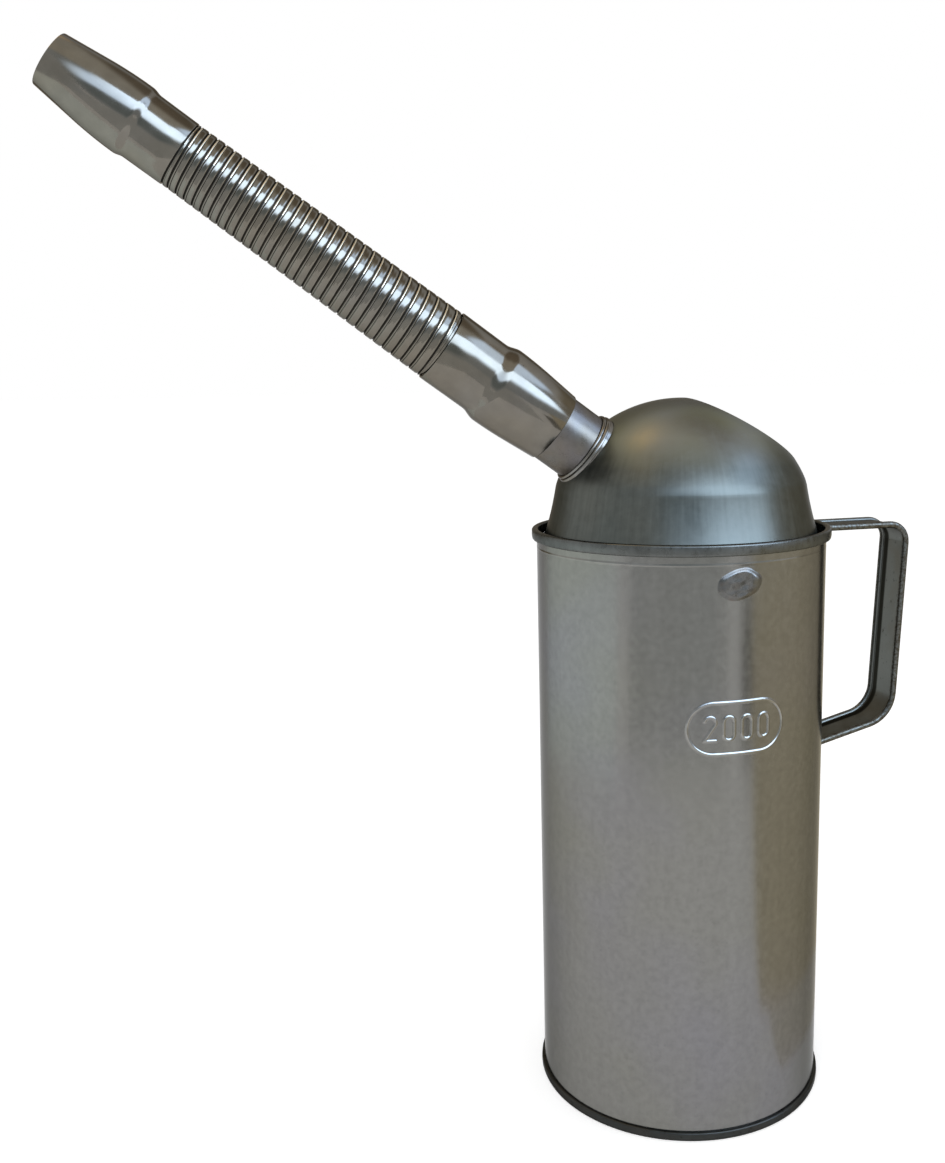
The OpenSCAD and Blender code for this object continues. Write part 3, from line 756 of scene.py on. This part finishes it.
class JUG_OT_ferrules(bpy.types.Operator):
    """Makes the plated sleeve and nozzle with their bulges"""
    bl_idname = "jug.ferrules"
    bl_label = "Sleeve and nozzle"

    def execute(self, context):
        finish, _, _ = jug(context)
        plate = plating(finish)
        sleeve_line = ([(13.3, 0.0), (13.42, 0.25)]
                       + bend_line((14.52, 14.0), (14.95, 20.4), (14.95, 25.5))
                       + shoulder(14.95, 13.6, 25.7, 31.5) + [(13.6, 40.0), (13.6, 49.75), (13.5, 50.0)])
        sleeve = lathe("sleeve_plated", walled(sleeve_line, SHEET), 160, spout_place(SLEEVE_START), plate)
        finish_piece(sleeve, "sleeve", "plated", "spout_sleeve")
        nozzle_line = ([(9.2, 0.0), (9.32, 0.2)]
                       + bend_line((11.35, 15.95), (12.15, 23.2), (12.15, 29.0))
                       + shoulder(12.15, 11.45, 29.2, 32.6) + [(11.45, 40.0), (11.45, 45.95), (11.35, 46.2)])
        flip = Matrix.Scale(-1, 4, (0, 0, 1))
        nozzle = lathe("nozzle_plated", walled(nozzle_line, SHEET), 160, spout_place(NOZZLE_TIP) @ flip, plate)
        finish_piece(nozzle, "nozzle", "plated", "spout_nozzle")
        for node in ("hose_root", "hose_end"):
            dress(node, plate)
        seal = metal("seal rubber", (0.03, 0.03, 0.03), (0.035, 0.033, 0.03), (0.025, 0.025, 0.027), 0.6)
        seal.node_tree.nodes["Principled BSDF"].inputs["Metallic"].default_value = 0.0
        dress("spout_seal", seal)
        return {"FINISHED"}


# Wound hose
def turn_place(hose, turn):
    """Distance along the hose of the boundary at a number of turns."""
    turns = hose.links * 2
    fall = (hose.pitch_last - hose.pitch_first) / (2 * (turns - 1))
    return turn * hose.pitch_first + fall * turn * (turn - 1)


def strip_section(hose, low, high, length):
    """Section of the wound strip between two boundaries, as (radius, along) points."""
    half = hose.groove / 2
    radius = hose.radius_first + (hose.radius_last - hose.radius_first) * (low + high) / 2 / length
    a = low + half
    b = max(high - half, a + 0.02)
    edge = min(0.22, (b - a) * 0.4)
    back = min(low + 1.75, b + 0.9)
    lip = high + 0.95
    fit = min(1.0, (b - a) / 2)
    crown = [(radius + rise * fit, a + (b - a) * share) for share, rise in STRIP_CROWN]
    lip_roll = [(radius + rise * fit, b - back_from * fit) for back_from, rise in STRIP_LIP]
    return ([(radius - 0.45, a), (radius - edge, a), (radius - edge * 0.3, a + edge * 0.3), (radius, a + edge)]
            + crown + lip_roll
            + [(radius - 0.5, b), (radius - 0.5, lip), (radius - 1.2, lip), (radius - 1.2, back),
               (radius - 0.45, back)])


STRIP_CROWN = ((0.16, 0.05), (0.27, 0.08), (0.4, 0.035), (0.53, 0.075), (0.66, 0.05))
STRIP_LIP = ((0.76, 0.0), (0.64, -0.12), (0.53, -0.02), (0.34, 0.03), (0.15, -0.02), (0.0, -0.2))
# Section sides that take painted shade: the groove floor and walls, and the thin valley beside the lip.
SHADED_SIDES = (0, 9, 10, 14, 15, 16, 17, 18, 19)
# Lip sides that take a painted highlight where they face up.
LIP_SIDES = (11, 12, 13)
LIP_RISE = 2.0
CUT_ANGLE = 80.0
CUT_GAP = 0.0035
START_GAP = 0.34


class JUG_OT_hose(bpy.types.Operator):
    """Winds the hose's strip, link by link, as one helix"""
    bl_idname = "jug.hose"
    bl_label = "Hose"

    def execute(self, context):
        finish, hose, _ = jug(context)
        plate = plating(finish, "hose plating", 0.00002)
        # Painted shade: a near-black metal for the grooves and the valley beside each lip, standing in for the
        # shade that falls there.
        groove_shade = metal("hose grooves", (0.02, 0.018, 0.015), (0.03, 0.026, 0.02), (0.015, 0.014, 0.013), 0.45)
        # Painted highlight: a pale metal on the rolled lip, standing in for the light its edge catches.
        lip = metal("lip highlight", (0.62, 0.57, 0.46), (0.55, 0.48, 0.36), (0.6, 0.58, 0.56), 0.3)
        upright = spout_place(HOSE_START).inverted()
        turns = hose.links * 2
        length = turn_place(hose, turns)
        for link in range(1, hose.links + 1):
            first = 2 * (link - 1) - 0.5
            last = 2 * link - 0.5 if link < hose.links else turns + 0.5
            steps = round((last - first) * hose.steps)
            verts, faces = [], []
            for i in range(steps + 1):
                turn = first + (last - first) * i / steps
                if i == 0 and link > 1:
                    turn += CUT_GAP
                if i == steps and link < hose.links:
                    turn -= CUT_GAP
                low = max(turn_place(hose, turn - 0.5) if turn > 0.5 else 0.0, START_GAP)
                high = min(turn_place(hose, turn + 0.5), length)
                high = max(high, START_GAP + 0.03)
                low = min(low, length - 0.03)
                angle = math.radians(CUT_ANGLE) + 2 * math.pi * (turn + 0.5)
                section = strip_section(hose, low, high, length)
                verts += [(r * math.cos(angle), r * math.sin(angle), z) for r, z in section]
            count = len(section)
            for i in range(steps):
                for k in range(count):
                    m = (k + 1) % count
                    faces.append((i * count + k, (i + 1) * count + k, (i + 1) * count + m, i * count + m))
            faces += [tuple(range(count)), tuple(range(steps * count, steps * count + count))]
            strip = mesh_piece(f"hose_strip_{link:02d}", verts, faces, spout_place(HOSE_START), 62, plate)
            strip.data.materials.append(groove_shade)
            strip.data.materials.append(lip)
            for number, face in enumerate(strip.data.polygons):
                side = number % count
                # Groove and valley faces take the painted shade.
                if side in SHADED_SIDES:
                    face.material_index = 1
                # On the hose's upper side the lip faces take the painted highlight.
                elif side in LIP_SIDES and (upright @ face.center).x > LIP_RISE * MM:
                    face.material_index = 2
            finish_piece(strip, f"link_{link:02d}", "plated", f"hose_link_{link:02d}")
        return {"FINISHED"}


class JUG_OT_handle(bpy.types.Operator):
    """Finishes the strap handle and the solder at its ends"""
    bl_idname = "jug.handle"
    bl_label = "Handle"

    def execute(self, context):
        finish, _, _ = jug(context)
        strap = metal("worn strap", finish.strap, (0.1, 0.085, 0.06), shade(finish.strap, 0.8), 0.34,
                      clouds=(50.0, 0.6), grain=(1200.0, 0.5), rough_spread=0.06,
                      wear=(520.0, 0.4), rub=shade(finish.strap, 1.7), stain=(0.04, 0.034, 0.028),
                      # channel: middle of the strap, the dark painted shade beside the far roll, the colour of the
                      # rolled edges
                      channel=(0.0047, (0.018, 0.018, 0.015), (0.065, 0.056, 0.044)))
        dress("handle_strap", strap)
        joint = metal("dull solder", shade(finish.solder, 0.55), shade(finish.solder, 0.4),
                      shade(finish.solder, 0.7), 0.35, wear=(500.0, 0.4), rub=shade(finish.solder, 0.9),
                      stain=(0.05, 0.045, 0.04))
        dress("handle_solder_top", joint)
        dress("handle_solder_low", joint)
        return {"FINISHED"}


class JUG_OT_seal(bpy.types.Operator):
    """Makes the flattened drop of solder below the rim"""
    bl_idname = "jug.seal"
    bl_label = "Seal drop"

    def execute(self, context):
        finish, _, _ = jug(context)
        shiny = metal("sealed solder", shade(finish.solder, 0.75), (0.12, 0.1, 0.085),
                      shade(finish.solder, 0.6), 0.26, clouds=(200.0, 0.8), grain=(1300.0, 0.3), bump=0.000006,
                      wear=(700.0, 0.3), rub=shade(finish.solder, 1.2), stain=(0.075, 0.06, 0.05))
        rings, spokes = 26, 84
        tilt = math.radians(12)
        verts, faces = [], []
        for i in range(rings + 1):
            rho = i / rings
            for k in range(spokes):
                phi = 2 * math.pi * k / spokes
                wobble = 1 + 0.09 * noise.noise(Vector((math.cos(phi) * 1.5, math.sin(phi) * 1.5, 4.2)))
                x = 8.5 * rho * math.cos(phi) * wobble
                y = 5.75 * rho * math.sin(phi) * wobble
                across = x * math.cos(tilt) - y * math.sin(tilt)
                up = x * math.sin(tilt) + y * math.cos(tilt)
                edge = smooth_step((1 - rho) / 0.32)
                rim = 0.07 * math.exp(-((rho - 0.8) / 0.1) ** 2)
                dent = 0.22 * noise.noise(Vector((x * 0.3 + 2.0, y * 0.42, 1.7)))
                out = edge * (0.7 + dent) + rim if rho < 1 else -0.15
                angle = -math.pi / 2 + across / BODY_R
                r = BODY_R + out
                verts.append((r * math.cos(angle), r * math.sin(angle), 206.2 + up))
        for i in range(rings):
            for k in range(spokes):
                m = (k + 1) % spokes
                faces.append((i * spokes + k, i * spokes + m, (i + 1) * spokes + m, (i + 1) * spokes + k))
        faces.append(tuple(range(rings * spokes, rings * spokes + spokes)))
        drop = mesh_piece("solder_seal", verts, faces, sharp=60, material=shiny)
        finish_piece(drop, "can", "solder", "seal_drop")
        return {"FINISHED"}


# Studio
SKY_LIGHT = 0.6
FLOOR_LIFT = 0.5
TONE_LIFT = 0.0008
# name, heading, rise, width, height, distance, squareness, soft share, tint, strength
PANELS = (
    ("front wall", -80, 30, 5.2, 3.4, 2.1, 8, 0.1, (0.9, 0.96, 1.0), 0.75),
    ("left wall", -160, 14, 2.2, 1.9, 1.75, 8, 0.25, (0.93, 0.97, 1.0), 0.82),
    ("left screen", -108, 13, 1.0, 0.48, 1.02, 4, 0.45, (0.84, 0.96, 1.0), 0.5),
    ("right screen", -14, 13, 0.95, 0.5, 1.02, 3, 0.8, (1.0, 0.92, 0.75), 0.6),
    ("warm wall", 14, 8, 2.0, 1.6, 1.7, 8, 0.3, (1.0, 0.88, 0.66), 0.6),
    ("far wall", 92, 16, 3.4, 2.6, 1.9, 8, 0.2, (1.0, 0.86, 0.66), 0.45),
    ("ceiling", -120, 84, 3.4, 2.6, 1.6, 8, 0.3, (1.0, 0.95, 0.84), 0.92),
    ("right window", -31, 41, 1.3, 0.72, 1.7, 4, 0.5, (0.58, 0.74, 1.0), 4.4),
    ("ceiling beam", 25, 66, 1.5, 1.0, 1.35, 4, 0.6, (1.0, 0.84, 0.64), 0.42),
    ("ceiling lamp", 138, 67, 0.9, 0.5, 1.3, 2, 0.9, (1.0, 0.68, 0.34), 2.6),
    ("side lamp", -160, 54, 0.6, 0.36, 1.3, 2, 0.9, (1.0, 0.76, 0.44), 2.3),
)
# name, middle, width and height, squareness, soft share, tint, strength
WINDOWS = (
    ("window", (1.2, -1.4, 1.31), (3.3, 1.62), 6, 0.4, (0.62, 0.78, 1.0), 8.4),
    ("side window", (-0.42, -1.46, 1.2), (1.7, 1.6), 2, 0.8, (0.6, 0.76, 1.0), 4.8),
)
# name, first and last heading, near and far edge, tint, strength
TABLE_TONES = (
    ("warm side", -55.5, 62, 0.13, 3.0, (1.0, 0.9, 0.68), 0.87),
    ("near warm side", -49, 62, 0.08, 0.13, (1.0, 0.95, 0.84), 0.93),
    ("dark gap", -64.5, -55.5, 0.5, 1.25, (0.9, 0.88, 0.8), 0.36),
    ("window side", 120, 200, 0.45, 3.0, (0.93, 1.0, 1.0), 1.4),
    ("front side", -150, -84, 0.5, 3.0, (0.98, 1.0, 1.0), 0.86),
    ("front middle", -84, -76, 0.5, 3.0, (0.99, 1.0, 0.99), 0.89),
)


def seen_rays(tree):
    """One for rays from the camera, from a mirror or through glass."""
    path = tree.nodes.new("ShaderNodeLightPath")
    seen = math_node(tree, "MAXIMUM", path.outputs["Is Camera Ray"], path.outputs["Is Glossy Ray"])
    return math_node(tree, "MAXIMUM", seen, path.outputs["Is Transmission Ray"])


def glow(name, tint, strength, half=None, squareness=2, soft=0.5):
    """A glowing surface, faded out toward the edges of a panel of the given half sizes."""
    made = bpy.data.materials.new(name)
    made.use_nodes = True
    tree = made.node_tree
    tree.nodes.clear()
    shader = tree.nodes.new("ShaderNodeEmission")
    shader.inputs["Color"].default_value = colour(tint)
    shader.inputs["Strength"].default_value = strength
    out = tree.nodes.new("ShaderNodeOutputMaterial")
    if half is None:
        tree.links.new(shader.outputs[0], out.inputs["Surface"])
        return made
    split = tree.nodes.new("ShaderNodeSeparateXYZ")
    tree.links.new(tree.nodes.new("ShaderNodeTexCoord").outputs["Object"], split.inputs[0])
    share = 0.0
    for axis, size in enumerate(half):
        reach = math_node(tree, "DIVIDE", math_node(tree, "ABSOLUTE", split.outputs[axis]), size)
        share = math_node(tree, "ADD", math_node(tree, "POWER", reach, squareness), share)
    fade = range_node(tree, math_node(tree, "POWER", share, 1 / squareness), 1 - soft, 1.0, 1.0, 0.0)
    fade.node.interpolation_type = "SMOOTHSTEP"
    mix = tree.nodes.new("ShaderNodeMixShader")
    tree.links.new(fade, mix.inputs[0])
    tree.links.new(tree.nodes.new("ShaderNodeBsdfTransparent").outputs[0], mix.inputs[1])
    tree.links.new(shader.outputs[0], mix.inputs[2])
    tree.links.new(mix.outputs[0], out.inputs["Surface"])
    return made


def for_reflections(piece):
    """Shows a stage piece to mirror-like surfaces alone."""
    piece.visible_camera = False
    piece.visible_diffuse = False
    piece.visible_shadow = False
    piece.visible_transmission = False
    bpy.context.scene.collection.objects.link(piece)
    return piece


def glow_sheet(name, place, out, size, squareness, soft, tint, strength):
    """A soft flat light that only reflections see."""
    mesh = bpy.data.meshes.new(name)
    w, h = size[0] / 2, size[1] / 2
    mesh.from_pydata([(-w, -h, 0), (w, -h, 0), (w, h, 0), (-w, h, 0)], [], [(0, 1, 2, 3)])
    sheet = bpy.data.objects.new(name, mesh)
    sheet.location = place
    sheet.rotation_mode = "QUATERNION"
    sheet.rotation_quaternion = out.to_track_quat("Z", "Y")
    mesh.materials.append(glow(name, tint, strength, (w, h), squareness, soft))
    return for_reflections(sheet)


def panel(name, heading, rise, across, up, away, squareness, soft, tint, strength):
    """A soft panel that faces the jug from a heading and a rise."""
    a, e = math.radians(heading), math.radians(rise)
    out = Vector((math.cos(a) * math.cos(e), math.sin(a) * math.cos(e), math.sin(e)))
    place = Vector((0.0, 0.0, 0.25)) + out * away
    return glow_sheet(name, place, out, (across, up), squareness, soft, tint, strength)


def table_tone(name, first, last, near, far, tint, strength):
    """A sector of the table round the jug that only reflections see, as a tone of the room."""
    steps = 12
    verts = []
    for i in range(steps + 1):
        a = math.radians(first + (last - first) * i / steps)
        verts += [(near * math.cos(a), near * math.sin(a), TONE_LIFT),
                  (far * math.cos(a), far * math.sin(a), TONE_LIFT)]
    faces = [(2 * i, 2 * i + 1, 2 * i + 3, 2 * i + 2) for i in range(steps)]
    mesh = bpy.data.meshes.new(name)
    mesh.from_pydata(verts, [], faces)
    mesh.materials.append(glow(name, tint, strength))
    return for_reflections(bpy.data.objects.new(name, mesh))


def soft_lamp(name, place, aim, size, power, tint=(1, 1, 1)):
    data = bpy.data.lights.new(name, "AREA")
    data.shape = "DISK"
    data.size = size
    data.energy = power
    data.color = tint
    lamp = bpy.data.objects.new(name, data)
    lamp.location = place
    lamp.visible_glossy = False
    lamp.rotation_mode = "QUATERNION"
    lamp.rotation_quaternion = (Vector(aim) - Vector(place)).to_track_quat("-Z", "Y")
    bpy.context.scene.collection.objects.link(lamp)
    return lamp


class JUG_OT_stage(bpy.types.Operator):
    """Sets up the camera, the floor, the lamps and the panels"""
    bl_idname = "jug.stage"
    bl_label = "Stage"

    def execute(self, context):
        _, _, stage = jug(context)
        scene = context.scene
        data = bpy.data.cameras.new("camera")
        camera = bpy.data.objects.new("camera", data)
        scene.collection.objects.link(camera)
        camera.matrix_world = (
            Matrix.Translation((stage.camera_x, stage.camera_y, stage.camera_z))
            @ Matrix.Rotation(-stage.heading, 4, "Z")
            @ Matrix.Rotation(math.pi / 2 - stage.pitch, 4, "X")
            @ Matrix.Rotation(stage.roll, 4, "Z"))
        data.sensor_width = 36
        data.lens = stage.lens
        data.shift_x = -67.5 / 1163
        data.clip_start = 0.01
        scene.camera = camera

        floor_mesh = bpy.data.meshes.new("floor")
        floor_mesh.from_pydata([(-30, -30, 0), (30, -30, 0), (30, 30, 0), (-30, 30, 0)], [], [(0, 1, 2, 3)])
        floor = bpy.data.objects.new("floor", floor_mesh)
        scene.collection.objects.link(floor)
        paint = bpy.data.materials.new("floor")
        paint.use_nodes = True
        shader = paint.node_tree.nodes["Principled BSDF"]
        shader.inputs["Base Color"].default_value = colour(stage.floor)
        shader.inputs["Roughness"].default_value = 0.9
        shader.inputs["Specular IOR Level"].default_value = 0.0
        shader.inputs["Emission Color"].default_value = (1, 1, 1, 1)
        seen = seen_rays(paint.node_tree)
        lift = range_node(paint.node_tree, seen, 0.0, 1.0, 0.0, FLOOR_LIFT)
        paint.node_tree.links.new(lift, shader.inputs["Emission Strength"])
        floor_mesh.materials.append(paint)

        world = bpy.data.worlds.new("studio")
        scene.world = world
        world.use_nodes = True
        tree = world.node_tree
        back = tree.nodes["Background"]
        back.inputs["Color"].default_value = (1, 1, 1, 1)
        lift = range_node(tree, seen_rays(tree), 0.0, 1.0, SKY_LIGHT, 1.0)
        tree.links.new(lift, back.inputs["Strength"])

        soft_lamp("key", (-0.9, -1.3, 1.9), (0, 0, 0.15), 1.2, 12)
        soft_lamp("fill", (1.6, -0.6, 1.4), (0, 0, 0.15), 1.4, 5)

        for row in PANELS:
            panel(*row)
        for name, middle, *rest in WINDOWS:
            glow_sheet(name, middle, Vector((0, -1, 0)), *rest)
        for row in TABLE_TONES:
            table_tone(*row)
        scene.view_settings.view_transform = "Standard"
        return {"FINISHED"}


class JUG_PT_panel(bpy.types.Panel):
    """Lists the jug's pieces"""
    bl_idname = "JUG_PT_panel"
    bl_label = "Oil measuring jug"
    bl_space_type = "VIEW_3D"
    bl_region_type = "UI"
    bl_category = "Jug"

    def draw(self, context):
        for step in STEPS:
            self.layout.operator(step.bl_idname)
        for settings in jug(context):
            box = self.layout.box()
            for key in settings.__annotations__:
                box.prop(settings, key)


STEPS = (JUG_OT_stage, JUG_OT_body, JUG_OT_beads, JUG_OT_hood, JUG_OT_neck, JUG_OT_ferrules, JUG_OT_hose,
         JUG_OT_handle, JUG_OT_seal)
CLASSES = (JugFinish, JugHose, JugStage) + STEPS + (JUG_PT_panel,)


def register():
    for item in CLASSES:
        bpy.utils.register_class(item)
    bpy.types.Scene.jug_finish = PointerProperty(type=JugFinish)
    bpy.types.Scene.jug_hose = PointerProperty(type=JugHose)
    bpy.types.Scene.jug_stage = PointerProperty(type=JugStage)


def unregister():
    del bpy.types.Scene.jug_stage
    del bpy.types.Scene.jug_hose
    del bpy.types.Scene.jug_finish
    for item in reversed(CLASSES):
        bpy.utils.unregister_class(item)


def main():
    register()
    groups.update(clouds=build_cloud_group(), grain=build_grain_group(), streaks=build_streak_group(),
                  wear=build_wear_group(), channel=build_channel_group())
    bpy.ops.jug.stage()
    bpy.ops.jug.body()
    bpy.ops.jug.beads()
    bpy.ops.jug.hood()
    bpy.ops.jug.neck()
    bpy.ops.jug.ferrules()
    bpy.ops.jug.hose()
    bpy.ops.jug.handle()
    bpy.ops.jug.seal()


if __name__ == "__main__":
    main()
